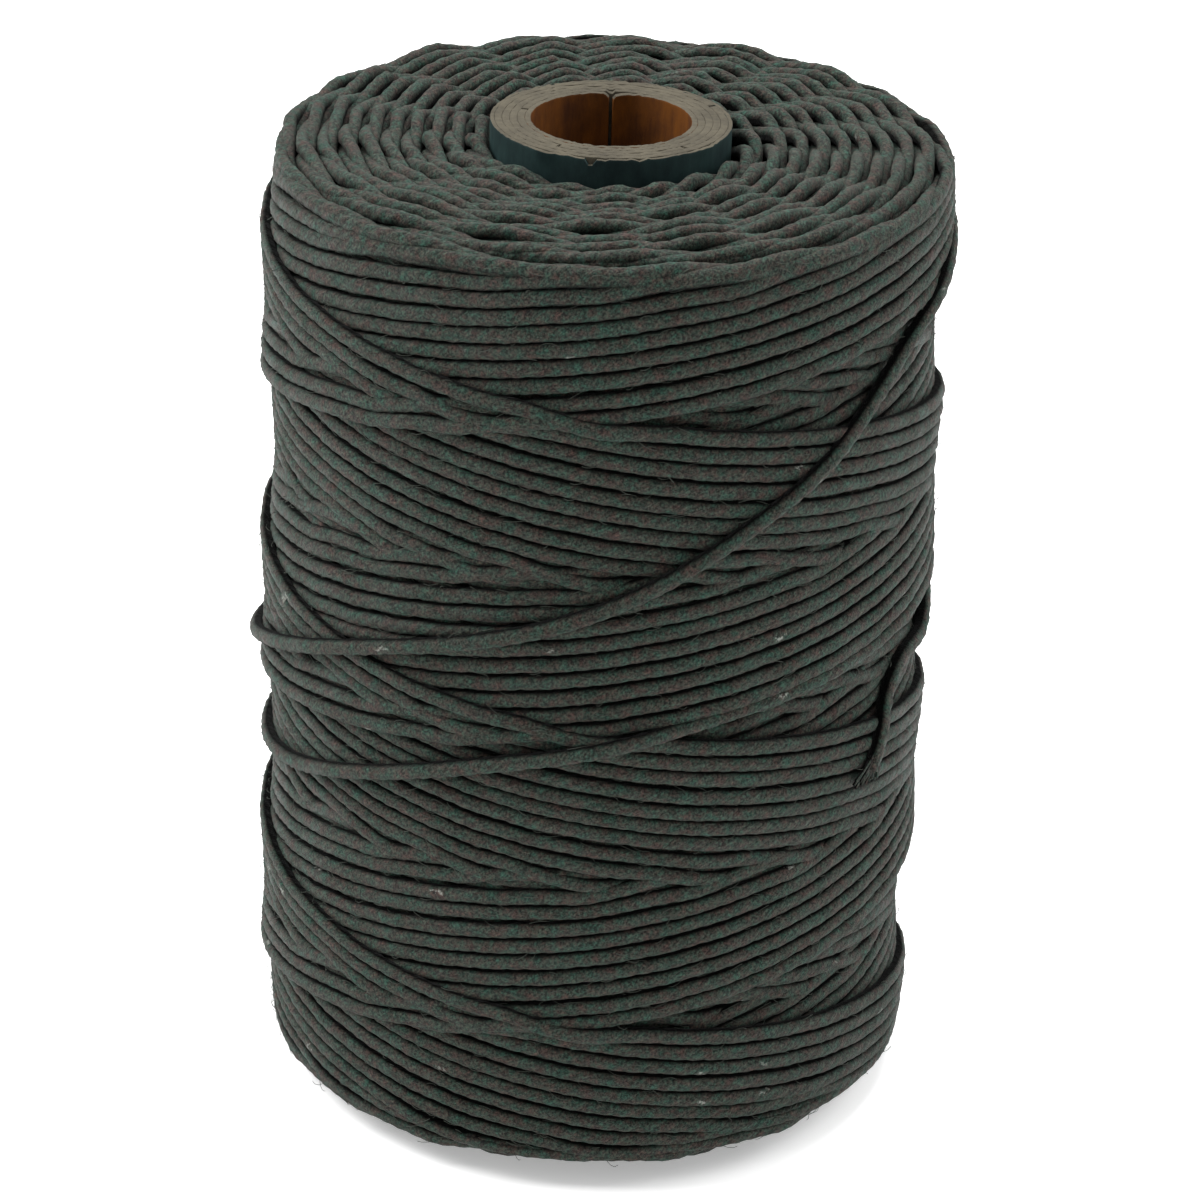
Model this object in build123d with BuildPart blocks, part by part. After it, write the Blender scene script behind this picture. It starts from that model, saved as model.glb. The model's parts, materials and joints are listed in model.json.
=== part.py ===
"""Spool of waxed thread: a rolled paper tube, the thread wound on it, and the thread's loose end.

The spool stands on the end of its tube. +Z is the tube's axis, the origin is the centre of the
standing face, and -Y is the front. Lengths are in millimetres and angles in degrees. An angle round
the spool starts at the front and grows towards +X.
"""
import os
from math import cos, pi, radians, sin, tan

from build123d import *

# The tube, rolled from straight-cut sheets: kraft liner, chipboard plies, coloured paper outside
tube_length = 61.5
bore_radius = 4.75
liner_thickness = 0.35
chipboard_thickness = 0.45
chipboard_plies = 4
wrap_thickness = 0.25
seam_gap = 0.2
liner_seam_angle = 181.0
seam_stagger = 74.0

# The thread and its winding: each layer is one closed pass of the thread up and down the tube
thread_diameter = 1.03
winding_radius = 20.3
winding_bottom = 1.5
winding_top = 60.0
layer_count = 10
end_face_dish = 0.6
top_shoulder_width = 3.7
top_shoulder_drop = 1.7
bottom_shoulder_width = 2.8
bottom_shoulder_rise = 2.9

# The start of the thread lies straight up the tube, under the first layer
start_angle = 140.0
start_bottom = 6.0
start_length = 34.0

# The loose end: two turns laid over the winding, hooked round the second of them, and a cut tail.
# Each point is (angle round the spool, height, how far it stands off the winding).
lay_clearance = 0.1
crossing_lift = thread_diameter + 0.35
hook_slack = 0.6
loose_turns = [
    (92, 57.3), (80, 56.9), (70, 55.3), (61, 52.3), (51, 49.3), (38, 46.5), (24, 43.5), (10, 40.4),
    (-5, 38.0), (-21, 36.1), (-37, 34.4), (-53, 32.4), (-69, 30.3), (-86, 28.2), (-105, 26.6),
    (-126, 26.1), (-148, 26.8), (-170, 28.2), (-192, 29.8), (-214, 31.4), (-235, 32.8), (-255, 33.8),
    (-273, 34.2), (-290, 33.9), (-307, 33.2), (-324, 32.4), (-341, 31.5), (-358, 30.3),
    (-375, 28.8), (-391, 26.9), (-407, 24.9), (-423, 23.1), (-440, 21.9), (-459, 21.3), (-480, 21.5),
    (-501, 22.6), (-522, 24.4), (-543, 26.3), (-563, 28.0), (-582, 29.3), (-599, 30.6),
]
hook = [
    (-611, 32.2, crossing_lift), (-619, 35.2, crossing_lift), (-625.5, 37.9, hook_slack),
    (-631.5, 38.3, hook_slack), (-636, 36.3, crossing_lift), (-640.5, 32.6, crossing_lift),
]
cut_tail = [(-646.5, 30.6), (-653, 28.9), (-659.5, 26.8), (-666, 24.3)]

wrap_radius = bore_radius + liner_thickness + chipboard_plies * chipboard_thickness
tube_radius = wrap_radius + wrap_thickness
layer_thickness = (winding_radius - tube_radius) / layer_count
thread_radius = thread_diameter / 2


def finish_piece(piece, name):
    """Label a finished piece and write it under the same name."""
    piece.part.label = name
    export_step(piece.part, f"parts/{name}.step")


def rolled_ply(name, inner, thickness, seam_angle):
    """One sheet of the tube, rolled once round, with its two edges meeting at a narrow seam."""
    with BuildPart() as ply:
        with BuildSketch():
            Circle(inner + thickness)
            Circle(inner, mode=Mode.SUBTRACT)
            with Locations(Location((0, 0, 0), (0, 0, seam_angle - 90))):
                with Locations((inner + thickness / 2, 0)):
                    Rectangle(2 * thickness, seam_gap, mode=Mode.SUBTRACT)
        extrude(amount=tube_length)
    finish_piece(ply, name)


def winding_layer(number):
    """One closed layer of thread: a ring of the winding's profile, from one radius to the next."""
    inner = tube_radius + (number - 1) * layer_thickness
    top_flat_end = winding_radius - top_shoulder_width
    bottom_flat_end = winding_radius - bottom_shoulder_width
    with BuildPart() as layer:
        with BuildSketch(Plane.XZ):
            with BuildLine():
                Line((tube_radius, winding_bottom + end_face_dish), (bottom_flat_end, winding_bottom))
                EllipticalCenterArc(
                    (bottom_flat_end, winding_bottom + bottom_shoulder_rise),
                    bottom_shoulder_width, bottom_shoulder_rise, start_angle=270, arc_size=90,
                )
                Line(
                    (winding_radius, winding_bottom + bottom_shoulder_rise),
                    (winding_radius, winding_top - top_shoulder_drop),
                )
                EllipticalCenterArc(
                    (top_flat_end, winding_top - top_shoulder_drop),
                    top_shoulder_width, top_shoulder_drop, start_angle=0, arc_size=90,
                )
                Line((top_flat_end, winding_top), (tube_radius, winding_top - end_face_dish))
                Line(
                    (tube_radius, winding_top - end_face_dish),
                    (tube_radius, winding_bottom + end_face_dish),
                )
            make_face()
            with Locations((inner + layer_thickness / 2, tube_length / 2)):
                Rectangle(layer_thickness, tube_length, mode=Mode.INTERSECT)
        revolve(axis=Axis.Z)
        if number == 1:
            with BuildSketch(Plane.XY.offset(start_bottom)):
                with Locations(start_centre):
                    Circle(thread_radius)
            extrude(amount=start_length, mode=Mode.SUBTRACT)
    finish_piece(layer, f"winding_layer_{number}")


def on_spool(angle, height, radius):
    """The point at an angle round the spool, a height and a distance from the axis."""
    return Vector(radius * sin(radians(angle)), -radius * cos(radians(angle)), height)


def loose_route():
    """The loose end's corner points, each far enough out for the runs between them to clear."""
    laid = [(*point, 0) for point in loose_turns] + hook + [(*point, 0) for point in cut_tail]
    points = []
    for index, (angle, height, lift) in enumerate(laid):
        neighbours = laid[max(index - 1, 0):index + 2]
        half_span = max(abs(other[0] - angle) for other in neighbours) / 2
        centre_radius = winding_radius + thread_radius + lay_clearance + lift
        points.append(on_spool(angle, height, centre_radius / cos(radians(half_span))))
    return points


def corner_radii(points):
    """The largest even bend at each corner: 0.45 of its shorter run over the tangent of half the turn."""
    radii = []
    for before, corner, after in zip(points, points[1:], points[2:]):
        run_in, run_out = corner - before, after - corner
        half_turn = radians(run_in.get_angle(run_out)) / 2
        radii.append(0.45 * min(run_in.length, run_out.length) / tan(half_turn))
    return radii


os.makedirs("parts", exist_ok=True)

# The tube, from the bore outwards
rolled_ply("liner_ply", bore_radius, liner_thickness, liner_seam_angle)
for ply_number in range(1, chipboard_plies + 1):
    rolled_ply(
        f"body_ply_{ply_number}",
        bore_radius + liner_thickness + (ply_number - 1) * chipboard_thickness,
        chipboard_thickness,
        liner_seam_angle + ply_number * seam_stagger,
    )
rolled_ply("outer_wrap", wrap_radius, wrap_thickness, liner_seam_angle + 30)

# The start of the thread, against the tube
start_centre = on_spool(start_angle, 0, tube_radius + thread_radius)
with BuildPart() as thread_start:
    with BuildSketch(Plane.XY.offset(start_bottom)):
        with Locations(start_centre):
            Circle(thread_radius)
    extrude(amount=start_length)
finish_piece(thread_start, "thread_start")

# The winding, layer by layer
for layer_number in range(1, layer_count + 1):
    winding_layer(layer_number)

# The loose end, a round tube along its route
route = loose_route()
radii = corner_radii(route)
with BuildPart() as thread_end:
    with BuildLine():
        centre_line = FilletPolyline(*route, radius=radii)
    with BuildSketch(Plane(origin=centre_line @ 0, z_dir=centre_line % 0)):
        Circle(thread_radius)
    sweep(path=centre_line)
finish_piece(thread_end, "thread_end")

swept_volume = pi * thread_radius**2 * centre_line.length
print("loose end length", round(centre_line.length, 2), "mm")
print("bend radii", [round(radius, 1) for radius in radii])
print("volume over section times length", round(thread_end.part.volume / swept_volume, 5))
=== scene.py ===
"""The looks of a spool of waxed thread: the wound thread, its loose end and the rolled paper tube.

Lengths are worked in millimetres, as on the drawing, and turned to metres where a mesh is made. An angle
round the spool starts at the front (-Y) and grows towards +X, in degrees.
"""
import json
from math import cos, pi, radians, sin, sqrt

import bpy
import numpy as np
from mathutils import Matrix, Vector, noise


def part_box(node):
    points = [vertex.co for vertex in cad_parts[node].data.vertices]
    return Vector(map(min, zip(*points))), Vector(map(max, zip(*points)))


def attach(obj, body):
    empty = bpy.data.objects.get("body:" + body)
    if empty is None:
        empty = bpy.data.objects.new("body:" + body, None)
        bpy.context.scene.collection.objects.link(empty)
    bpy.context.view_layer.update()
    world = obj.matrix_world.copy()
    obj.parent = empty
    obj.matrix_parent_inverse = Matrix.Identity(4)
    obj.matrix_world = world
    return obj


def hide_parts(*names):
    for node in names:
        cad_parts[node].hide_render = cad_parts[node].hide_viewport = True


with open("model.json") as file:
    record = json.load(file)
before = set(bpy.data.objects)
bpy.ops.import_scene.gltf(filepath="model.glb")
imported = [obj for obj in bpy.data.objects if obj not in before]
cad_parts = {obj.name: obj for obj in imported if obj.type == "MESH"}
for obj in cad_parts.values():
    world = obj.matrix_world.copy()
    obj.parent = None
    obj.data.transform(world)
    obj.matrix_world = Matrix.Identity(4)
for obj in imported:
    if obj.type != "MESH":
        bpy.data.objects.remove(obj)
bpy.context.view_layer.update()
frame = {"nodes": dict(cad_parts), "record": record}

MM = 0.001
BODY = "root"

# Sizes read from the frame, in millimetres
LAYERS = sum(node.startswith("winding_layer_") for node in frame["nodes"])
layer_boxes = [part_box(f"winding_layer_{number}") for number in range(1, LAYERS + 1)]
WINDING_RADIUS = layer_boxes[-1][1].x / MM
WINDING_BOTTOM = min(low.z for low, high in layer_boxes) / MM
WINDING_TOP = max(high.z for low, high in layer_boxes) / MM
TUBE_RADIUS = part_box("outer_wrap")[1].x / MM
TUBE_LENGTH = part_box("outer_wrap")[1].z / MM
start_low, start_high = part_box("thread_start")
THREAD_DIAMETER = (start_high.x - start_low.x) / MM
THREAD_RADIUS = THREAD_DIAMETER / 2
BORE_RADIUS = next(m["dims"]["r_mm"] for m in frame["record"]["mounts"] if m["kind"] == "bore")


# ---------------------------------------------------------------- helpers

def rounded(angle_degrees):
    """Sine and cosine of an angle round the spool."""
    return sin(radians(angle_degrees)), cos(radians(angle_degrees))


def on_spool(angle, height, radius):
    """The point, in metres, at an angle round the spool, a height and a distance from its axis."""
    across, forward = rounded(angle)
    return Vector((radius * across, -radius * forward, height)) * MM


def linear(hex_code):
    """An sRGB hex colour as the linear RGBA that a shader socket takes."""
    channels = [int(hex_code[place:place + 2], 16) / 255 for place in (1, 3, 5)]
    return [c / 12.92 if c <= 0.04045 else ((c + 0.055) / 1.055) ** 2.4 for c in channels] + [1]


def add_node(tree, kind, inputs=None, **settings):
    """Adds a shader node, sets its settings, and sets or links each named or numbered input."""
    node = tree.nodes.new(kind)
    for name, value in settings.items():
        setattr(node, name, value)
    for key, value in (inputs or {}).items():
        if isinstance(value, bpy.types.NodeSocket):
            tree.links.new(value, node.inputs[key])
        else:
            node.inputs[key].default_value = value
    return node


def new_material(name):
    """An empty node material: returns the material and its node tree."""
    material = bpy.data.materials.new(name)
    material.use_nodes = True
    material.node_tree.nodes.clear()
    return material, material.node_tree


def deselect():
    bpy.ops.object.select_all(action="DESELECT")


def make_current(piece):
    """Selects one object alone, as the one that operators work on."""
    deselect()
    piece.select_set(True)
    bpy.context.view_layer.objects.active = piece


def apply_modifier(piece, kind, **settings):
    """Adds a modifier with its settings and applies it."""
    make_current(piece)
    modifier = piece.modifiers.new(kind.title(), kind)
    for name, value in settings.items():
        setattr(modifier, name, value)
    bpy.ops.object.modifier_apply(modifier=modifier.name)


def cut_edges(piece, material):
    """A sheet's cut rims show its core: gives the faces that look up or down a second material."""
    piece.data.materials.append(material)
    for face in piece.data.polygons:
        face.material_index = int(abs(face.normal.z) > 0.6)


def dress(piece, material, replaced=()):
    """Gives a finished piece its material and its body, and hides the nodes that it stands for."""
    piece.data.materials.clear()
    piece.data.materials.append(material)
    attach(piece, BODY)
    if replaced:
        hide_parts(*replaced)
    return piece


# ---------------------------------------------------------------- camera

VIEW_ELEVATION = 25.15
VIEW_ROLL = 2.0
VIEW_DISTANCE = 276.2
AIM_HEIGHT = 30.15
AIM_ACROSS = 0.32
FOCAL_LENGTH = 133.8

sine, cosine = rounded(VIEW_ELEVATION)
back = Vector((0, -cosine, sine))
right = Vector((1, 0, 0))
above = back.cross(right)
roll_sine, roll_cosine = rounded(VIEW_ROLL)
camera_x = right * roll_cosine + above * roll_sine
camera_y = above * roll_cosine - right * roll_sine
camera = bpy.data.objects.new("camera", bpy.data.cameras.new("camera"))
bpy.context.collection.objects.link(camera)
camera.matrix_world = Matrix.Translation(
    (Vector((AIM_ACROSS, 0, AIM_HEIGHT)) + back * VIEW_DISTANCE) * MM
) @ Matrix((camera_x, camera_y, back)).transposed().to_4x4()
camera.data.lens = FOCAL_LENGTH
camera.data.sensor_width = 36
camera.data.clip_start = 0.01
camera.data.clip_end = 10
bpy.context.scene.camera = camera


# ---------------------------------------------------------------- winding the thread

LEAD = 19.5                     # height gained in one turn of the tube
BANDS = 18                      # passes up and down before the thread closes a layer
TURNS_PER_PASS = 6 + 1 / BANDS  # turns of the tube in one pass up and down
AHEAD = 64                      # columns worked out past each turn, so that the turns join smoothly
END_ANGLE = -175.0              # turns the finished pattern round to its place
COLUMNS = 720
ROW = 0.1
REACH = 5                       # rows to each side that a thread covers
GIVE = 0.7                      # share of a bump that a thread still shows when the next one crosses it
LOWEST_BED, HIGHEST_BED = -1.0, 0.6     # how far a thread's bed can lie from the even winding
PULLS = (48, 32, 20, 12, 8, 4, 2, 1, 2, 4, 8)   # columns over which a tight thread runs straight, in turn

# A hand-fed thread is never quite even
SHORT_TOP = 0.4                 # how much earlier than the fullest turn a pass turns back at the top
SHORT_BOTTOM = 0.6
PASS_DRIFT = 0.10               # how far a whole pass lies off its place
WANDER = 0.07                   # how far the thread wanders within a turn
WANDERS_PER_TURN = 8
SOFT_TURN = 0.22                # rounds the place where a pass turns back

# It slips aside into the groove next to it
SLIPS = np.arange(-0.36, 0.361, 0.12)   # the slips that it tries
SLIP_COST = 0.9                 # climb that is as hard as a slip of a millimetre
SLIP_CHOICE = 0.05              # climbs closer than this count as the same
SLIP_EASING = 23                # columns over which a slip eases in and out

# Wound tight, the thread is pressed to a flat oval with full sides
HALF_WIDTH = THREAD_RADIUS * 0.94
HALF_DEPTH = THREAD_RADIUS * 0.78
FULLNESS = 2.7                  # 2 is an ellipse, and more is squarer

TOP_SHOULDER = (3.7, 1.7)       # width and drop of the rounded edge
BOTTOM_SHOULDER = (2.8, 2.9)
DISH = 0.1                      # how far the end faces fall in towards the tube
TOP_PACKING = 0.7               # how far the fullest turns reach past the even end of a pass
BOTTOM_PACKING = 0.55
TOP_LEAN = (150.0, 0.35)        # the side on which the top face stands higher, and how much


def shoulder(radius, width, drop):
    """How far an end face has fallen away at a radius: the dish inside, the rounded edge outside."""
    flat_end = WINDING_RADIUS - width
    across = np.clip((radius - flat_end) / width, 0, 1)
    edge = drop * (1 - np.sqrt(1 - across ** 2))
    dish = DISH * np.clip((flat_end - radius) / (flat_end - TUBE_RADIUS), 0, 1)
    return edge + dish


def section_rise(aside):
    """How far the pressed thread's face stands above its centre line, at a distance to the side."""
    share = np.clip(np.abs(aside) / HALF_WIDTH, 0, 1)
    return HALF_DEPTH * (1 - share ** FULLNESS) ** (1 / FULLNESS)


def support_under(surface, columns, heights):
    """The lowest that a thread's centre can lie at each column and height, and where it would touch."""
    rows = np.rint(heights / ROW).astype(int)[:, None] + np.arange(-REACH, REACH + 1)
    rows = np.clip(rows, 0, surface.shape[1] - 1)
    aside = rows * ROW - heights[:, None]
    rise = section_rise(aside)
    touching = np.abs(aside) < HALF_WIDTH
    lowest = np.where(touching, surface[columns[:, None], rows] + rise, 0).max(1)
    return lowest, rows, rise, touching


def pulled_tight(radii):
    """A thread under tension bridges every hollow that a straight run would pass over."""
    for step in PULLS:
        straight = radii.copy()
        straight[step:-step] = (radii[:-2 * step] + radii[2 * step:]) / 2 * cos(2 * pi * step / COLUMNS)
        radii = np.maximum(radii, straight)
    return radii


def wind():
    """Winds the whole thread, turn by turn, over what already lies on the tube.

    Returns the outer surface as a radius at each column and row, and the thread's centre line as a height
    and a radius for each turn and column.
    """
    draw = np.random.default_rng(7)
    passes = LAYERS * BANDS
    turns = int(passes * TURNS_PER_PASS)
    short_top = draw.uniform(0, SHORT_TOP, passes + 3)
    short_bottom = draw.uniform(0, SHORT_BOTTOM, passes + 3)
    pass_drift = draw.normal(0, PASS_DRIFT, (passes + 3) * 2)
    wander = draw.normal(0, WANDER, (turns + 2) * WANDERS_PER_TURN)
    surface = np.full((COLUMNS, int(TUBE_LENGTH / ROW) + 8), TUBE_RADIUS)
    middle = (WINDING_TOP + WINDING_BOTTOM) / 2
    easing = np.hanning(SLIP_EASING)[1:-1]
    easing /= easing.sum()
    heights, radii = np.zeros((turns, COLUMNS)), np.zeros((turns, COLUMNS))
    last_slip, last_radius = np.zeros(AHEAD), np.full(AHEAD, TUBE_RADIUS + HALF_DEPTH)
    columns = np.arange(COLUMNS + AHEAD) % COLUMNS
    for turn in range(turns):
        wound = turn + np.arange(COLUMNS + AHEAD) / COLUMNS
        count = np.floor(wound / TURNS_PER_PASS).astype(int)
        share = wound / TURNS_PER_PASS - count
        rising = share < 0.5
        travel = np.where(rising, 4 * share - 1, 3 - 4 * share)
        height = middle + travel * LEAD * TURNS_PER_PASS / 4
        height += np.interp(wound * WANDERS_PER_TURN, np.arange(len(wander)), wander)
        height += pass_drift[2 * count + ~rising]
        nominal = TUBE_RADIUS + HALF_DEPTH
        nominal += (WINDING_RADIUS - HALF_DEPTH - nominal) * (turn + 0.5) / turns
        edge = nominal + HALF_DEPTH / 2
        top = WINDING_TOP - shoulder(edge, *TOP_SHOULDER) - HALF_WIDTH + TOP_PACKING - short_top[count]
        top = top + TOP_LEAN[1] * np.cos(2 * pi * wound + radians(END_ANGLE - TOP_LEAN[0]))
        bottom = WINDING_BOTTOM + shoulder(edge, *BOTTOM_SHOULDER) + HALF_WIDTH - BOTTOM_PACKING
        bottom = bottom + short_bottom[np.where(rising, count, count + 1)]
        height = -SOFT_TURN * np.logaddexp(-height / SOFT_TURN, -top / SOFT_TURN)
        height = SOFT_TURN * np.logaddexp(height / SOFT_TURN, bottom / SOFT_TURN)
        # The thread slips aside to where it climbs least
        climb = np.array([support_under(surface, columns, height + slip)[0] for slip in SLIPS])
        climb += SLIP_COST * SLIPS[:, None] ** 2
        weight = np.exp(-(climb - climb.min(0)) / SLIP_CHOICE)
        slipped = (weight * SLIPS[:, None]).sum(0) / weight.sum(0)
        height += np.convolve(np.concatenate([last_slip, slipped]), easing, "same")[AHEAD:]
        # It rests on what is under it, bridges hollows, and sinks a little into its bed
        lowest, rows, rise, touching = support_under(surface, columns, height)
        radius = nominal + GIVE * np.clip(lowest - nominal, LOWEST_BED, HIGHEST_BED)
        radius = pulled_tight(np.concatenate([last_radius, radius]))[AHEAD:]
        last_slip, last_radius = slipped[COLUMNS - AHEAD:COLUMNS], radius[COLUMNS - AHEAD:COLUMNS]
        laid = np.where(touching, radius[:, None] + rise, 0)[:COLUMNS]
        here = columns[:COLUMNS, None], rows[:COLUMNS]
        surface[here] = np.maximum(surface[here], laid)
        heights[turn], radii[turn] = height[:COLUMNS], radius[:COLUMNS]
    return surface, heights, radii


COVERED_SIDE = 0.45             # a thread this far under the side's surface doesn't show
COVERED_END = 0.9               # nor one this far inside an end face
SPARE = 4                       # columns kept past each end of a shown stretch


def seen_from_outside(surface, heights, radii):
    """Marks the stretches of thread that reach the side or an end face, or show in a gap there."""
    columns = np.arange(COLUMNS)
    lateral = np.arange(-4, 5) * ROW
    rise = section_rise(lateral)
    rows = np.clip(np.rint((heights[:, :, None] + lateral) / ROW).astype(int), 0, surface.shape[1] - 1)
    cover = surface[columns[None, :, None], rows] - (radii[:, :, None] + rise)
    seen = cover.min(2) < COVERED_SIDE
    rings = int((WINDING_RADIUS + 2) / ROW)
    for side in (1, -1):
        face = np.full((COLUMNS, rings), -1e3)
        ring = np.clip(np.rint((radii[:, :, None] + lateral) / ROW).astype(int), 0, rings - 1)
        reach = side * heights[:, :, None] + rise
        for turn in range(len(heights)):
            np.maximum.at(face, (columns[:, None], ring[turn]), reach[turn])
        depth = face[columns[None, :, None], ring] - reach
        seen |= depth.min(2) < COVERED_END
    flat = seen.ravel()
    wide = flat.copy()
    for shift in range(1, SPARE + 1):
        wide[shift:] |= flat[:-shift]
        wide[:-shift] |= flat[shift:]
    return wide


surface, heights, radii = wind()
seen = seen_from_outside(surface, heights, radii)
print("shown share of the thread", round(float(seen.mean()), 3))


def surface_near(angle, height):
    """The winding's outer radius round a point on its side, where most of what is near has been reached."""
    column = int(round((angle - END_ANGLE) / 360 * COLUMNS))
    row = int(round(height / ROW))
    nearby = surface[np.arange(column - 12, column + 13) % COLUMNS, row - REACH:row + REACH + 1]
    return float(np.percentile(nearby, 65))


# ---------------------------------------------------------------- thread as a mesh

PLIES = 4
LAY_LENGTH = 4.2                # one full turn of the plies
PLY_RELIEF = 0.05               # how far each ply stands out, as a share of the radius
SLUB = 0.025                    # how much thicker or thinner the spun thread runs, as a share
STEP = 0.36                     # distance between the rings of a thread's mesh
PRESSED = (HALF_WIDTH, HALF_DEPTH, FULLNESS)
ROUND = (THREAD_RADIUS * 0.96, THREAD_RADIUS * 0.92, 2.1)


def turned_up(points):
    """How far the winding's free surface near a point has turned: 0 on the side, 1 on top, -1 underneath."""
    radius, height = np.hypot(points[:, 0], points[:, 1]), points[:, 2]
    from_side = np.maximum(WINDING_RADIUS - radius, 0.3)
    from_top = np.maximum(WINDING_TOP - shoulder(radius, *TOP_SHOULDER) - height, 0.3)
    from_bottom = np.maximum(height - WINDING_BOTTOM - shoulder(radius, *BOTTOM_SHOULDER), 0.3)
    return (np.arctan2(from_side, from_top) - np.arctan2(from_side, from_bottom)) * 2 / pi


def thread_mesh(name, strands, section=PRESSED, sides=12, relief=PLY_RELIEF):
    """One mesh of many strands. Each strand is (points in mm, outward directions, distance wound before it).

    Thousands of turns that lie on each other can't be shaped by hand, so the mesh is worked out ring by ring.
    A section is a half width, a half depth and a fullness. The UV map holds millimetres along the thread,
    and turns round it, counted so that 0.5 faces out of the winding. The looser turns of the end faces show
    more of their sides before they are in a groove, so there the count round them is slower.
    """
    half_width, half_depth, fullness = section
    turn_angles = np.arange(sides) * 2 * pi / sides
    inward, sideways = np.cos(turn_angles), np.sin(turn_angles)
    full = (np.abs(inward) ** fullness + np.abs(sideways) ** fullness) ** (-1 / fullness)
    vertices, quads, caps, uv_rows = [], [], [], []
    first = 0
    for points, outward, start in strands:
        tangent = np.gradient(points, axis=0)
        tangent /= np.linalg.norm(tangent, axis=1)[:, None]
        aside = np.cross(tangent, outward)
        aside /= np.linalg.norm(aside, axis=1)[:, None]
        out = np.cross(aside, tangent)
        steps = np.linalg.norm(np.diff(points, axis=0), axis=1)
        along = start + np.concatenate([[0], np.cumsum(steps)])
        twist = PLIES * (turn_angles[None, :] - 2 * pi * along[:, None] / LAY_LENGTH)
        slub = 1 + SLUB * np.sin(along / 3.1) + SLUB * np.sin(along / 7.3 + 1)
        # Uneven beats of sine waves stand for coarse fibres
        coarse = np.sin(11.3 * along[:, None] + 3 * turn_angles) * np.sin(7.1 * along[:, None] - turn_angles)
        size = slub[:, None] * (1 + relief * (np.cos(twist) - 0.6) + relief * 0.8 * coarse) * full
        ring = points[:, None, :] + size[:, :, None] * (
            -half_depth * inward[None, :, None] * out[:, None, :]
            + half_width * sideways[None, :, None] * aside[:, None, :]
        )
        vertices.append(ring.reshape(-1, 3))
        count = len(points)
        here = first + np.arange((count - 1) * sides).reshape(count - 1, sides)
        after = first + np.arange(count - 1)[:, None] * sides + (np.arange(sides) + 1) % sides
        quads.append(np.stack([here, after, after + sides, here + sides], 2).reshape(-1, 4))
        up = turned_up(points)[:, None]
        around = 0.5 + (np.arange(sides + 1) / sides - 0.5) * (1 - 0.4 * np.abs(up)) - up * (1 - 0.4) / 4
        corners = ((along[:-1], around[:-1, :-1]), (along[:-1], around[:-1, 1:]),
                   (along[1:], around[1:, 1:]), (along[1:], around[1:, :-1]))
        uv_rows.append(np.stack(
            [np.stack(np.broadcast_arrays(far[:, None], turn), 2) for far, turn in corners], 2,
        ).reshape(-1, 2))
        caps.append(first + np.arange(sides)[::-1])
        caps.append(first + (count - 1) * sides + np.arange(sides))
        first += count * sides
    return build_mesh(name, np.concatenate(vertices), np.concatenate(quads), caps, np.concatenate(uv_rows))


def build_mesh(name, vertices, quads, caps, uvs):
    """A smooth mesh object, in metres, of quads and the flat caps that close their ends."""
    mesh = bpy.data.meshes.new(name)
    loops = np.concatenate([quads.ravel()] + list(caps)).astype(np.int32)
    sizes = np.concatenate([np.full(len(quads), quads.shape[1]), [len(cap) for cap in caps]])
    sizes = sizes.astype(np.int32)
    mesh.vertices.add(len(vertices))
    mesh.vertices.foreach_set("co", (vertices * MM).astype(np.float32).ravel())
    mesh.loops.add(len(loops))
    mesh.loops.foreach_set("vertex_index", loops)
    mesh.polygons.add(len(sizes))
    starts = np.concatenate([[0], np.cumsum(sizes)[:-1]])
    mesh.polygons.foreach_set("loop_start", starts.astype(np.int32))
    mesh.polygons.foreach_set("loop_total", sizes)
    mesh.update(calc_edges=True)
    mesh.polygons.foreach_set("use_smooth", np.ones(len(sizes), bool))
    lay = mesh.uv_layers.new(name="lay")
    filled = np.zeros((len(loops), 2), np.float32)
    filled[:len(uvs)] = uvs
    lay.data.foreach_set("uv", filled.ravel())
    piece = bpy.data.objects.new(name, mesh)
    bpy.context.collection.objects.link(piece)
    return piece


SHORTEST = 6                    # columns: a shorter stretch is left out


def wound_strands():
    """The shown stretches of the wound thread, each with the number of the layer that it lies in."""
    turns = len(heights)
    angle = np.radians(np.arange(COLUMNS) * 360 / COLUMNS + END_ANGLE)
    direction = np.stack([np.sin(angle), -np.cos(angle), np.zeros(COLUMNS)], 1)
    flat_height, flat_radius = heights.ravel(), radii.ravel()
    column = np.tile(np.arange(COLUMNS), turns)
    run = np.concatenate([[0], np.cumsum(flat_radius[:-1] * 2 * pi / COLUMNS)])
    edges = np.flatnonzero(np.diff(np.concatenate([[0], seen.astype(int), [0]])))
    found = []
    for begin, end in zip(edges[::2], edges[1::2]):
        if end - begin < SHORTEST:
            continue
        stride = max(2, round(STEP / (flat_radius[begin] * 2 * pi / COLUMNS)))
        keep = np.arange(begin, end, stride)
        if len(keep) < 3:
            continue
        outward = direction[column[keep]]
        points = outward * flat_radius[keep, None]
        points[:, 2] = flat_height[keep]
        layer = 1 + int(begin / len(flat_height) * LAYERS)
        found.append((layer, (points, outward, run[begin])))
    return found


# ---------------------------------------------------------------- materials

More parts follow.
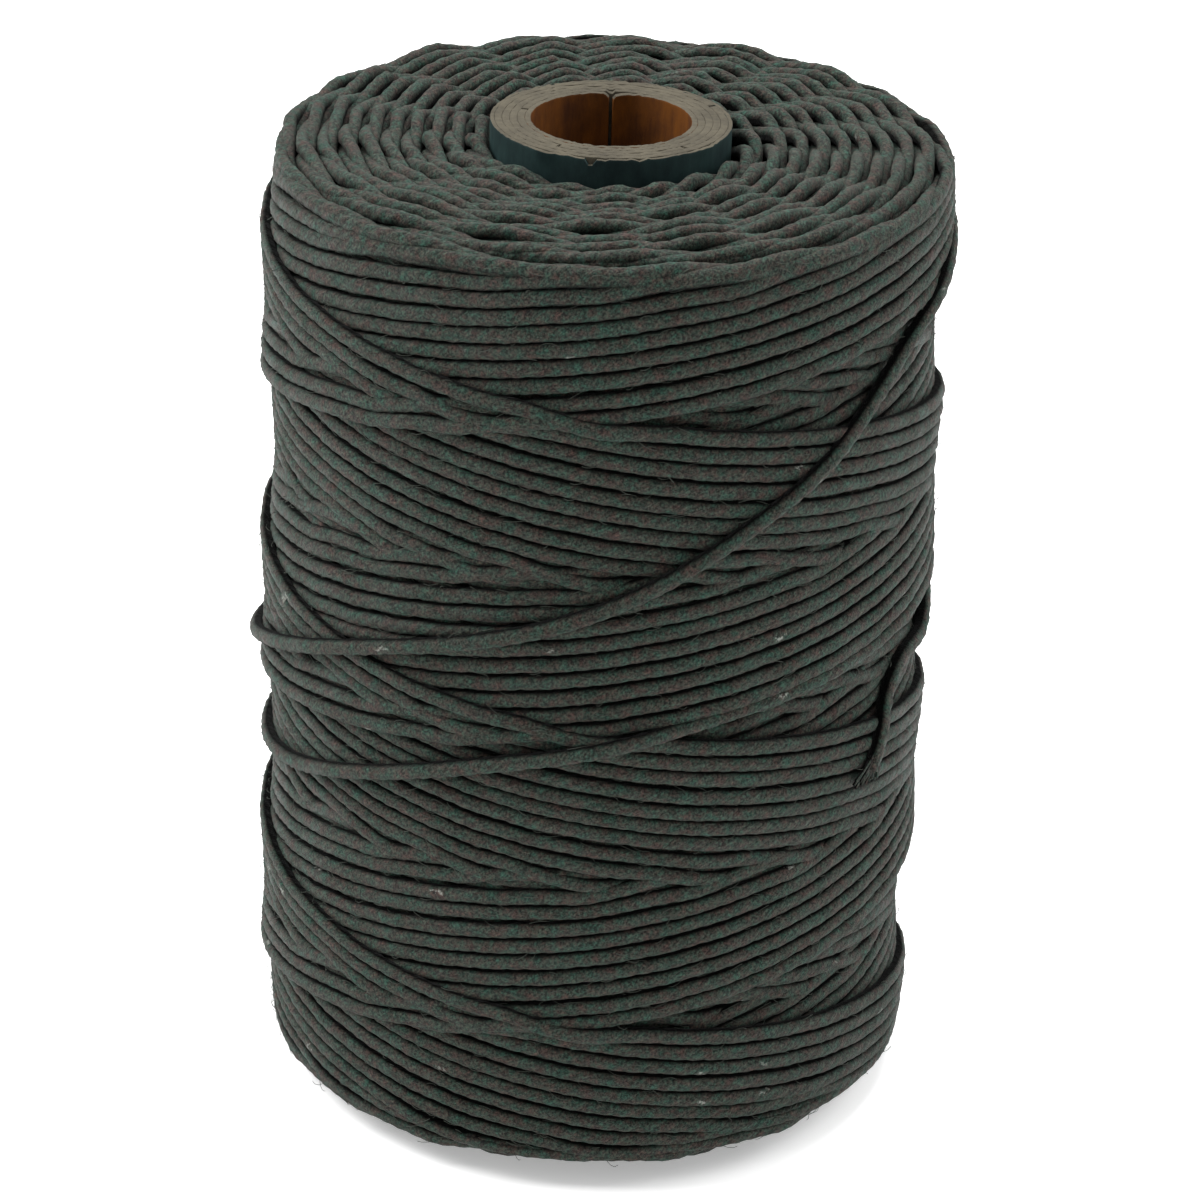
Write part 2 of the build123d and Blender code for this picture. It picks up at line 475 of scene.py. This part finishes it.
def waxed_thread():
    """Waxed linen thread, spun and plied: matt with a faint shine where the wax lies, with painted shade in
    its grooves.

    The lay map follows the plies. The dye, wax and grain run through the thread and follow its place.
    """
    material, tree = new_material("waxed_linen_thread_plied")
    lay = add_node(tree, "ShaderNodeUVMap", uv_map="lay")
    split = add_node(tree, "ShaderNodeSeparateXYZ", {0: lay.outputs[0]})
    # Distance across the plies, in plies, and distance along them, in millimetres
    around = add_node(tree, "ShaderNodeMath", {0: split.outputs[1], 1: float(PLIES)}, operation="MULTIPLY")
    across = add_node(
        tree, "ShaderNodeMath", {0: split.outputs[0], 1: -PLIES / LAY_LENGTH, 2: around.outputs[0]},
        operation="MULTIPLY_ADD",
    )
    turns = add_node(tree, "ShaderNodeMath", {0: across.outputs[0], 1: 2 * pi}, operation="MULTIPLY")
    ply = add_node(tree, "ShaderNodeMath", {0: turns.outputs[0]}, operation="COSINE")
    strand = add_node(tree, "ShaderNodeCombineXYZ", {0: split.outputs[0], 1: across.outputs[0], 2: 0.0})
    # Linen fibres are 0.02 mm thick: drawn as bundles of 0.15 mm, so that they show
    fibre_place = add_node(
        tree, "ShaderNodeMapping", {"Vector": strand.outputs[0], "Scale": (0.9, 2.6, 1.0)},
    )
    fibres = add_node(
        tree, "ShaderNodeTexNoise",
        {"Vector": fibre_place.outputs[0], "Scale": 2.2, "Detail": 4.0, "Roughness": 0.7},
    )
    # Blots of dye 0.7 mm across, wax 2.5 mm across, and grain drawn at 0.17 mm, coarser than real, to show
    place = add_node(tree, "ShaderNodeTexCoord")
    dye = add_node(
        tree, "ShaderNodeTexNoise",
        {"Vector": place.outputs["Object"], "Scale": 1.4 / MM, "Detail": 4.0, "Roughness": 0.75},
    )
    wax = add_node(
        tree, "ShaderNodeTexNoise",
        {"Vector": place.outputs["Object"], "Scale": 0.4 / MM, "Detail": 2.0, "Roughness": 0.6},
    )
    grain = add_node(
        tree, "ShaderNodeTexNoise",
        {"Vector": place.outputs["Object"], "Scale": 6.0 / MM, "Detail": 2.0, "Roughness": 0.8},
    )
    # The dye took unevenly: reddish and greenish greys side by side
    tint = add_node(tree, "ShaderNodeValToRGB", {0: dye.outputs[0]})
    for stop, (where, colour) in zip(
        tint.color_ramp.elements, ((0.36, "#352722"), (0.64, "#1D382E")),
    ):
        stop.position, stop.color = where, linear(colour)
    depth = add_node(
        tree, "ShaderNodeMapRange",
        {"Value": fibres.outputs[0], "From Min": 0.3, "From Max": 0.7, "To Min": 0.4, "To Max": 1.5},
    )
    speckle = add_node(
        tree, "ShaderNodeMapRange",
        {"Value": grain.outputs[0], "From Min": 0.36, "From Max": 0.64, "To Min": 0.12, "To Max": 1.75},
    )
    # Painted shade: turned in towards its neighbours the thread is painted darker, for the shade in the
    # groove between turns
    offset = add_node(tree, "ShaderNodeMath", {0: split.outputs[1], 1: 0.5}, operation="SUBTRACT")
    turned_in = add_node(tree, "ShaderNodeMath", {0: offset.outputs[0], 1: 0.5}, operation="PINGPONG")
    painted_groove_shade = add_node(
        tree, "ShaderNodeMapRange",
        {"Value": turned_in.outputs[0], "From Min": 0.12, "From Max": 0.21, "To Min": 1.0, "To Max": 0.03},
    )
    shade = add_node(
        tree, "ShaderNodeMath", {0: depth.outputs[0], 1: speckle.outputs[0]}, operation="MULTIPLY",
    )
    shade = add_node(
        tree, "ShaderNodeMath", {0: shade.outputs[0], 1: painted_groove_shade.outputs[0]}, operation="MULTIPLY",
    )
    colour = add_node(
        tree, "ShaderNodeVectorMath", {0: tint.outputs[0], 1: shade.outputs[0]}, operation="MULTIPLY",
    )
    # Pale lint caught in the wax, a short scrap every few millimetres, lying along the thread
    laid_along = add_node(tree, "ShaderNodeMapping", {"Vector": lay.outputs[0], "Scale": (0.5, 3.2, 1.0)})
    ragged = add_node(
        tree, "ShaderNodeVectorMath", {0: dye.outputs["Color"], 1: (1.5, 1.5, 0.0)}, operation="MULTIPLY",
    )
    lint_place = add_node(
        tree, "ShaderNodeVectorMath", {0: laid_along.outputs[0], 1: ragged.outputs[0]}, operation="ADD",
    )
    lint = add_node(
        tree, "ShaderNodeTexVoronoi",
        {"Vector": lint_place.outputs[0], "Scale": 0.4, "Randomness": 1.0},
    )
    speck = add_node(
        tree, "ShaderNodeMapRange",
        {"Value": lint.outputs["Distance"], "From Min": 0.02, "From Max": 0.07, "To Min": 0.5, "To Max": 0.0},
    )
    mixed = add_node(
        tree, "ShaderNodeMix",
        {"Factor": speck.outputs[0], "A": colour.outputs[0], "B": linear("#A9ACA4")},
        data_type="RGBA",
    )
    relief = add_node(
        tree, "ShaderNodeMath", {0: ply.outputs[0], 1: 0.3, 2: fibres.outputs[0]},
        operation="MULTIPLY_ADD",
    )
    relief = add_node(
        tree, "ShaderNodeMath", {0: relief.outputs[0], 1: grain.outputs[0]}, operation="ADD",
    )
    bump = add_node(
        tree, "ShaderNodeBump", {"Height": relief.outputs[0], "Strength": 0.8, "Distance": 0.10 * MM},
    )
    gloss = add_node(
        tree, "ShaderNodeMapRange",
        {"Value": wax.outputs[0], "From Min": 0.3, "From Max": 0.7, "To Min": 0.6, "To Max": 0.85},
    )
    # The painted groove shade also turns the specular level down there, so that no reflection lightens the
    # grooves
    shine = add_node(tree, "ShaderNodeMath", {0: painted_groove_shade.outputs[0], 1: 0.25}, operation="MULTIPLY")
    shader = add_node(
        tree, "ShaderNodeBsdfPrincipled",
        {
            "Base Color": mixed.outputs[2], "Roughness": gloss.outputs[0], "Normal": bump.outputs[0],
            "IOR": 1.45, "Specular IOR Level": shine.outputs[0], "Sheen Weight": 0.04,
            "Sheen Roughness": 0.5,
        },
    )
    add_node(tree, "ShaderNodeOutputMaterial", {"Surface": shader.outputs[0]})
    return material


def fibre_finish():
    """Single fibres standing off the thread: matt, and a little paler than the waxed thread."""
    material, tree = new_material("linen_fibre_ends_waxed")
    shader = add_node(
        tree, "ShaderNodeBsdfPrincipled",
        {"Base Color": linear("#3E423C"), "Roughness": 0.8, "IOR": 1.45, "Specular IOR Level": 0.2},
    )
    add_node(tree, "ShaderNodeOutputMaterial", {"Surface": shader.outputs[0]})
    return material


def paper(name, dark, light, fibre_scale, stretch, relief, roughness):
    """A paper or board: short fibres, a cloudy colour and a matt face. The fibre scale is fibres to a mm."""
    material, tree = new_material(name)
    place = add_node(tree, "ShaderNodeTexCoord")
    stretched = add_node(tree, "ShaderNodeMapping", {"Vector": place.outputs["Object"], "Scale": stretch})
    fibres = add_node(
        tree, "ShaderNodeTexNoise",
        {"Vector": stretched.outputs[0], "Scale": fibre_scale / MM, "Detail": 5.0, "Roughness": 0.7},
    )
    clouds = add_node(
        tree, "ShaderNodeTexNoise",
        {"Vector": place.outputs["Object"], "Scale": 0.4 / MM, "Detail": 3.0},
    )
    blend = add_node(
        tree, "ShaderNodeMath", {0: fibres.outputs[0], 1: clouds.outputs[0]}, operation="ADD",
    )
    share = add_node(
        tree, "ShaderNodeMapRange", {"Value": blend.outputs[0], "From Min": 0.75, "From Max": 1.25},
    )
    tint = add_node(tree, "ShaderNodeValToRGB", {0: share.outputs[0]})
    for stop, colour in zip(tint.color_ramp.elements, (dark, light)):
        stop.color = linear(colour)
    bump = add_node(
        tree, "ShaderNodeBump", {"Height": fibres.outputs[0], "Strength": 0.6, "Distance": relief * MM},
    )
    shader = add_node(
        tree, "ShaderNodeBsdfPrincipled",
        {
            "Base Color": tint.outputs[0], "Roughness": roughness, "Normal": bump.outputs[0],
            "IOR": 1.45, "Specular IOR Level": 0.25,
        },
    )
    add_node(tree, "ShaderNodeOutputMaterial", {"Surface": shader.outputs[0]})
    return material


def light_table(name, colour, glow):
    """Matt white acrylic, lit a little from below so that shadows on it stay faint."""
    material, tree = new_material(name)
    shader = add_node(
        tree, "ShaderNodeBsdfPrincipled",
        {
            "Base Color": linear(colour), "Roughness": 0.9, "Emission Color": linear(colour),
            "Emission Strength": glow,
        },
    )
    add_node(tree, "ShaderNodeOutputMaterial", {"Surface": shader.outputs[0]})
    return material


thread_finish = waxed_thread()
# Unbleached kraft, rolled with its grain up the tube: warm brown and streaked. The board's grey pulp is cut
# across, so it is speckled and quite matt. The cover paper's teal dye and glue leave it smoother and darker.
kraft_finish = paper("kraft_paper_rolled", "#3B1C02", "#613604", 1.2, (1, 1, 0.25), 0.05, 0.75)
board_finish = paper("grey_chipboard_cut", "#3D3930", "#504B3F", 2.5, (1, 1, 1), 0.08, 0.9)
wrap_finish = paper("teal_cover_paper_glued", "#0F1F20", "#1D302F", 1.6, (1, 1, 0.4), 0.03, 0.6)


# ---------------------------------------------------------------- the wound thread's pieces

RINGS_PER_PIECE = 7600          # keeps a piece under 200,000 triangles


def cut_to(strand, count):
    """A strand's first rings, and the rest of it, which starts in the same ring as they end."""
    points, outward, start = strand
    first = points[:count]
    run = start + np.linalg.norm(np.diff(first, axis=0), axis=1).sum()
    return (first, outward[:count], start), (points[count - 1:], outward[count - 1:], run)


def shared_out(strands):
    """The strands in groups that are each small enough for one piece."""
    groups, room = [[]], RINGS_PER_PIECE
    for strand in strands:
        while len(strand[0]) > 1:
            if room < 60:
                groups.append([])
                room = RINGS_PER_PIECE
            taken, strand = cut_to(strand, room)
            groups[-1].append(taken)
            room -= len(taken[0])
    return groups


strands_by_layer = [[] for _ in range(LAYERS)]
for layer, strand in wound_strands():
    strands_by_layer[layer - 1].append(strand)
for layer, strands in enumerate(strands_by_layer, 1):
    for part, group in enumerate(shared_out(strands), 1):
        turns = thread_mesh(f"wound_turns_{layer}.{part}", group)
        dress(turns, thread_finish, [f"winding_layer_{layer}"])


# The start of the thread, straight up the tube under the first turns
start_line = np.zeros((95, 3))
start_line[:, :2] = np.array((start_low + start_high).xy) / 2 / MM
start_line[:, 2] = np.linspace(start_low.z, start_high.z, 95) / MM
start_outward = start_line * (1, 1, 0)
start_outward /= np.linalg.norm(start_outward, axis=1)[:, None]
start_laid = thread_mesh("thread_start_laid", [(start_line, start_outward, 0.0)], ROUND)
dress(start_laid, thread_finish, ["thread_start"])


# ---------------------------------------------------------------- the loose end

CROSSING_LIFT = THREAD_DIAMETER * 0.7
HOOK_SLACK = 0.2
BEDDED = 0.6                    # height of a laid thread's middle over the winding, as a share of its radius
# Points of the route: angle round the spool, height, and lift off the winding where it isn't just laid on it
OUT_OF_THE_WINDING = [
    (105, 57.0, -1.4), (98, 56.8, -1.1), (92, 56.5, -0.8), (80, 55.8, -0.5), (70, 54.2, -0.1),
]
LOOSE_TURNS = [
    (61, 52.0), (51, 49.3), (38, 46.5), (24, 43.5), (10, 40.4),
    (-5, 38.0), (-21, 36.1), (-37, 34.4), (-53, 32.4), (-69, 30.3), (-86, 28.2), (-105, 26.6),
    (-126, 26.1), (-148, 26.8), (-170, 28.2), (-192, 29.8), (-214, 31.4), (-235, 32.8), (-255, 33.8),
    (-273, 34.2), (-290, 33.9), (-307, 33.2), (-324, 32.4), (-341, 31.5), (-358, 30.3),
    (-375, 28.8), (-391, 26.9), (-407, 24.9), (-423, 23.1), (-440, 21.9), (-459, 21.3), (-480, 21.5),
    (-501, 22.6), (-522, 24.4), (-543, 26.2), (-561, 27.8), (-573, 28.9),
]
HOOK = [
    (-580, 30.1, 0.3), (-585, 31.7, CROSSING_LIFT), (-589, 33.4, CROSSING_LIFT), (-593, 34.9, HOOK_SLACK),
    (-598, 35.7, HOOK_SLACK), (-603, 35.3, HOOK_SLACK), (-608, 34.3, CROSSING_LIFT),
    (-613, 33.3, CROSSING_LIFT), (-618, 32.6, 0.2), (-624, 32.3, 0.0), (-630, 32.0, 0.05),
    (-635, 31.0, 0.15), (-640, 30.4, 0.1),
]
CUT_TAIL = [(-646, 30.6), (-651, 30.7), (-655, 30.1), (-659, 28.8), (-663, 27.1), (-666, 25.3)]


def smooth_line(name, corners):
    """The points, in metres, along a NURBS spline that has these control points."""
    curve = bpy.data.curves.new(name, "CURVE")
    curve.dimensions = "3D"
    curve.resolution_u = 16
    spline = curve.splines.new("NURBS")
    spline.points.add(len(corners) - 1)
    for point, corner in zip(spline.points, corners):
        point.co = (*corner, 1)
    spline.order_u = 3
    spline.use_endpoint_u = True
    route = bpy.data.objects.new(name, curve)
    bpy.context.collection.objects.link(route)
    bpy.context.view_layer.update()
    line = bpy.data.meshes.new_from_object(route)
    points = [vertex.co.copy() for vertex in line.vertices]
    bpy.data.objects.remove(route)
    bpy.data.meshes.remove(line)
    return points


def loose_route():
    """The loose end's control points, laid on the winding and far enough out for the thread to clear it."""
    laid = OUT_OF_THE_WINDING + [(*point, 0) for point in LOOSE_TURNS]
    laid += HOOK + [(*point, 0) for point in CUT_TAIL]
    corners = []
    for index, (angle, height, lift) in enumerate(laid):
        neighbours = laid[max(index - 1, 0):index + 2]
        half_span = max(abs(other[0] - angle) for other in neighbours) / 2
        centre_radius = surface_near(angle, height) + THREAD_RADIUS * BEDDED + lift
        corners.append(on_spool(angle, height, centre_radius / cos(radians(half_span))))
    return corners


def frayed_strands(points, outward):
    """The cut tip: fine strands that leave the thread and fan out flat on the winding."""
    draw = np.random.default_rng(11)
    end, out = points[-1], outward[-1]
    along = points[-1] - points[-4]
    along /= np.linalg.norm(along)
    aside = np.cross(along, out)
    share = np.linspace(0, 1, 9)
    strands = []
    for place in np.linspace(-1, 1, 30):
        reach = 0.7 + 0.6 * place + draw.uniform(-0.3, 0.15)
        spread = 0.38 * place + (0.8 * place + draw.normal(0, 0.08)) * share ** 1.3
        depth = draw.uniform(-0.2, 0.25) * (1 - 0.5 * share) + draw.normal(0, 0.05) * share
        line = end + along * (-0.9 + (0.9 + reach) * share[:, None])
        line = line + aside * spread[:, None] + out * depth[:, None]
        strands.append((line, np.tile(out, (len(share), 1)), 0.0))
    return strands


loose_points = smooth_line("loose_end_route", loose_route())
loose_line = np.array(loose_points) / MM
loose_outward = loose_line * (1, 1, 0)
loose_outward /= np.linalg.norm(loose_outward, axis=1)[:, None]
loose_end = thread_mesh("loose_end", [(loose_line, loose_outward, 0.0)], ROUND, sides=16, relief=0.07)
dress(loose_end, thread_finish, ["thread_end"])
STRAND = (0.11, 0.11, 2)
frayed_tip = thread_mesh("frayed_tip", frayed_strands(loose_line, loose_outward), STRAND, sides=6)
dress(frayed_tip, thread_finish)


# ---------------------------------------------------------------- fuzz

FUZZ_COUNT = 7000
FUZZ = (0.02, 0.02, 2)


def fibre_ends(strands, count):
    """Short fibre ends that stand off the thread, most of them nearly flat under the wax."""
    draw = np.random.default_rng(23)
    share = np.array([0, 0.35, 0.7, 1])
    lengths = np.array([len(points) for points, outward, start in strands])
    chosen = draw.choice(len(strands), count, p=lengths / lengths.sum())
    hairs = []
    for strand in chosen:
        points, outward, start = strands[strand]
        place = draw.integers(1, len(points) - 1)
        tangent = points[place + 1] - points[place - 1]
        tangent /= np.linalg.norm(tangent)
        aside = np.cross(tangent, outward[place])
        lean = draw.uniform(-1.2, 1.2)
        normal = cos(lean) * outward[place] + sin(lean) * aside
        root = points[place] + HALF_DEPTH * 0.95 * cos(lean) * outward[place]
        root = root + HALF_WIDTH * sin(lean) * aside
        reach = draw.uniform(0.3, 1.3)
        height = draw.uniform(0.06, 0.42)
        drift = draw.normal(0, 0.25) * reach
        way = tangent * draw.choice([-1, 1])
        line = root + way * (reach * share[:, None]) + normal * (height * np.sin(share * 2.2)[:, None] - 0.02)
        line = line + np.cross(way, normal) * (drift * share ** 2)[:, None]
        hairs.append((line, np.tile(normal, (4, 1)), 0.0))
    return hairs


fuzz = thread_mesh("thread_fuzz", fibre_ends(strands_by_layer[-1], FUZZ_COUNT), FUZZ, sides=3, relief=0)
dress(fuzz, fibre_finish())


# ---------------------------------------------------------------- the rolled tube

PLY_FACETS = 180
RIM_LOOPS = (0.15, 0.5, 1.0, 1.6, 2.3)     # distances from each rim at which a sheet can bend
RIM_DEPTH = 2.4                 # how far down from the rim a sheet is worn or bent
FOOT_DEPTH = 1.2
SPRUNG_WIDTH = 20               # degrees of a sheet that spring in before its seam
PLY_GAP = 0.006                 # glue line between two sheets
ply_names = ["liner_ply"] + [f"body_ply_{number}" for number in range(1, 5)] + ["outer_wrap"]


def outside_radius(node):
    low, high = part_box(node)
    return max(high.x, high.y, -low.x, -low.y) / MM


def turned(angle, other):
    """The smallest turn from one angle round the spool to another."""
    return (other - angle + 180) % 360 - 180


def near(angle, place, half_width):
    """1 at a place round the rim, falling smoothly to 0 at a half width from it."""
    share = min(1.0, abs(turned(place, angle)) / half_width)
    return (1 + cos(pi * share)) / 2


def rolled_ply(name, inside, seam_angle, dents=(), lips=(), wear=0.05, spring=0.0):
    """One sheet rolled once round, its cut rims rough, its two edges meeting at a seam.

    A dent (angle, half width, depth) lowers the top rim, and a lip (angle, half width, lift) bends it. The
    edge before the seam springs in by a distance, all along the tube.
    """
    outside = outside_radius(name)
    deselect()
    bpy.ops.mesh.primitive_cylinder_add(
        vertices=PLY_FACETS, radius=outside * MM, depth=TUBE_LENGTH * MM, end_fill_type="NOTHING",
        location=(0, 0, TUBE_LENGTH / 2 * MM),
    )
    ply = bpy.context.active_object
    ply.name = name + "_rolled"
    bpy.ops.object.transform_apply(location=True, rotation=True, scale=True)
    bpy.ops.object.mode_set(mode="EDIT")
    for distance in RIM_LOOPS:
        for height in (distance, TUBE_LENGTH - distance):
            bpy.ops.mesh.select_all(action="SELECT")
            bpy.ops.mesh.bisect(plane_co=(0, 0, height * MM), plane_no=(0, 0, 1))
    bpy.ops.mesh.select_all(action="DESELECT")
    bpy.ops.mesh.select_mode(type="FACE")
    bpy.ops.object.mode_set(mode="OBJECT")
    half_facet = 180 / PLY_FACETS
    for face in ply.data.polygons:
        x, y = face.center.x, face.center.y
        face.select = bool(abs(turned(seam_angle, np.degrees(np.arctan2(x, -y)))) <= half_facet)
    bpy.ops.object.mode_set(mode="EDIT")
    bpy.ops.mesh.delete(type="FACE")
    bpy.ops.object.mode_set(mode="OBJECT")
    for vertex in ply.data.vertices:
        x, y, height = vertex.co / MM
        angle = float(np.degrees(np.arctan2(x, -y)))
        rim = max(0.0, 1 - (TUBE_LENGTH - height) / RIM_DEPTH)
        foot = max(0.0, 1 - height / FOOT_DEPTH)
        rough = noise.noise(Vector((x * 1.3, y * 1.3, outside)))
        rough += noise.noise(Vector((x * 5, y * 5, outside))) / 2
        dent = sum(depth * near(angle, at, width) for at, width, depth in dents)
        height -= rim ** 4 * (abs(rough) * wear * 2 + dent)
        height += foot ** 4 * abs(rough) * wear
        spread = sum(lift * near(angle, at, width) * rim ** 2 for at, width, lift in lips)
        past_seam = turned(seam_angle, angle)
        if -SPRUNG_WIDTH < past_seam < 0:
            spread -= spring * (1 + past_seam / SPRUNG_WIDTH) ** 2
        vertex.co = on_spool(angle, height, sqrt(x * x + y * y) + spread)
    wall = outside - inside - PLY_GAP
    apply_modifier(ply, "SOLIDIFY", thickness=wall * MM, offset=-1, use_even_offset=True)
    apply_modifier(
        ply, "BEVEL", width=0.03 * MM, segments=2, limit_method="ANGLE", angle_limit=radians(50),
    )
    make_current(ply)
    bpy.ops.object.shade_smooth_by_angle(angle=radians(35))
    return ply


LINER_SEAM = 181.0
SEAM_STAGGER = 74.0             # from each board ply to the next
WRAP_STAGGER = 30.0
radii_out = [BORE_RADIUS] + [outside_radius(node) for node in ply_names]
for number, node in enumerate(ply_names):
    if node == "liner_ply":
        shape = {"dents": [(LINER_SEAM, 4, 0.3)], "lips": [(176, 16, -0.15)], "spring": 0.25}
        finish, slot = kraft_finish, "kraft_liner"
        seam = LINER_SEAM
    elif node == "outer_wrap":
        shape = {
            "dents": [(-9, 4, 0.5), (14, 3, 0.15)], "lips": [(-33, 12, 0.22), (52, 9, 0.12)], "wear": 0.07,
        }
        finish, slot = wrap_finish, "wrap_paper"
        seam = LINER_SEAM + WRAP_STAGGER
    else:
        shape = {"dents": [(LINER_SEAM, 3, 0.2 / number)], "wear": 0.04}
        finish, slot = board_finish, "chipboard"
        seam = LINER_SEAM + number * SEAM_STAGGER
    ply = dress(rolled_ply(node, radii_out[number], seam, **shape), finish, [node])
    if finish != board_finish:
        cut_edges(ply, board_finish)


# ---------------------------------------------------------------- floor and light

bpy.ops.mesh.primitive_plane_add(size=6, location=(0, 0, 0))
floor = bpy.context.active_object
floor.name = "floor"
floor.data.materials.append(light_table("light_table_white", "#F4F4F4", 0.35))

world = bpy.data.worlds.new("studio")
bpy.context.scene.world = world
world.use_nodes = True
world.node_tree.nodes["Background"].inputs[0].default_value = linear("#FFFFFF")
world.node_tree.nodes["Background"].inputs[1].default_value = 0.60


def area_light(name, place, aim, size, power):
    """A soft square light at a place, facing a point, in metres and watts."""
    light = bpy.data.objects.new(name, bpy.data.lights.new(name, "AREA"))
    bpy.context.collection.objects.link(light)
    light.data.size = size
    light.data.energy = power
    light.location = place
    light.rotation_euler = (Vector(aim) - Vector(place)).to_track_quat("-Z", "Y").to_euler()
    return light


area_light("softbox_left", (-0.45, 0.05, 0.45), (0, 0, 0.03), 0.35, 4.8)
area_light("softbox_right", (0.45, 0.08, 0.40), (0, 0, 0.03), 0.35, 2.0)
area_light("softbox_above", (0.06, 0.16, 0.58), (0, 0, 0.03), 0.30, 2.6)
bpy.context.scene.view_settings.view_transform = "Standard"
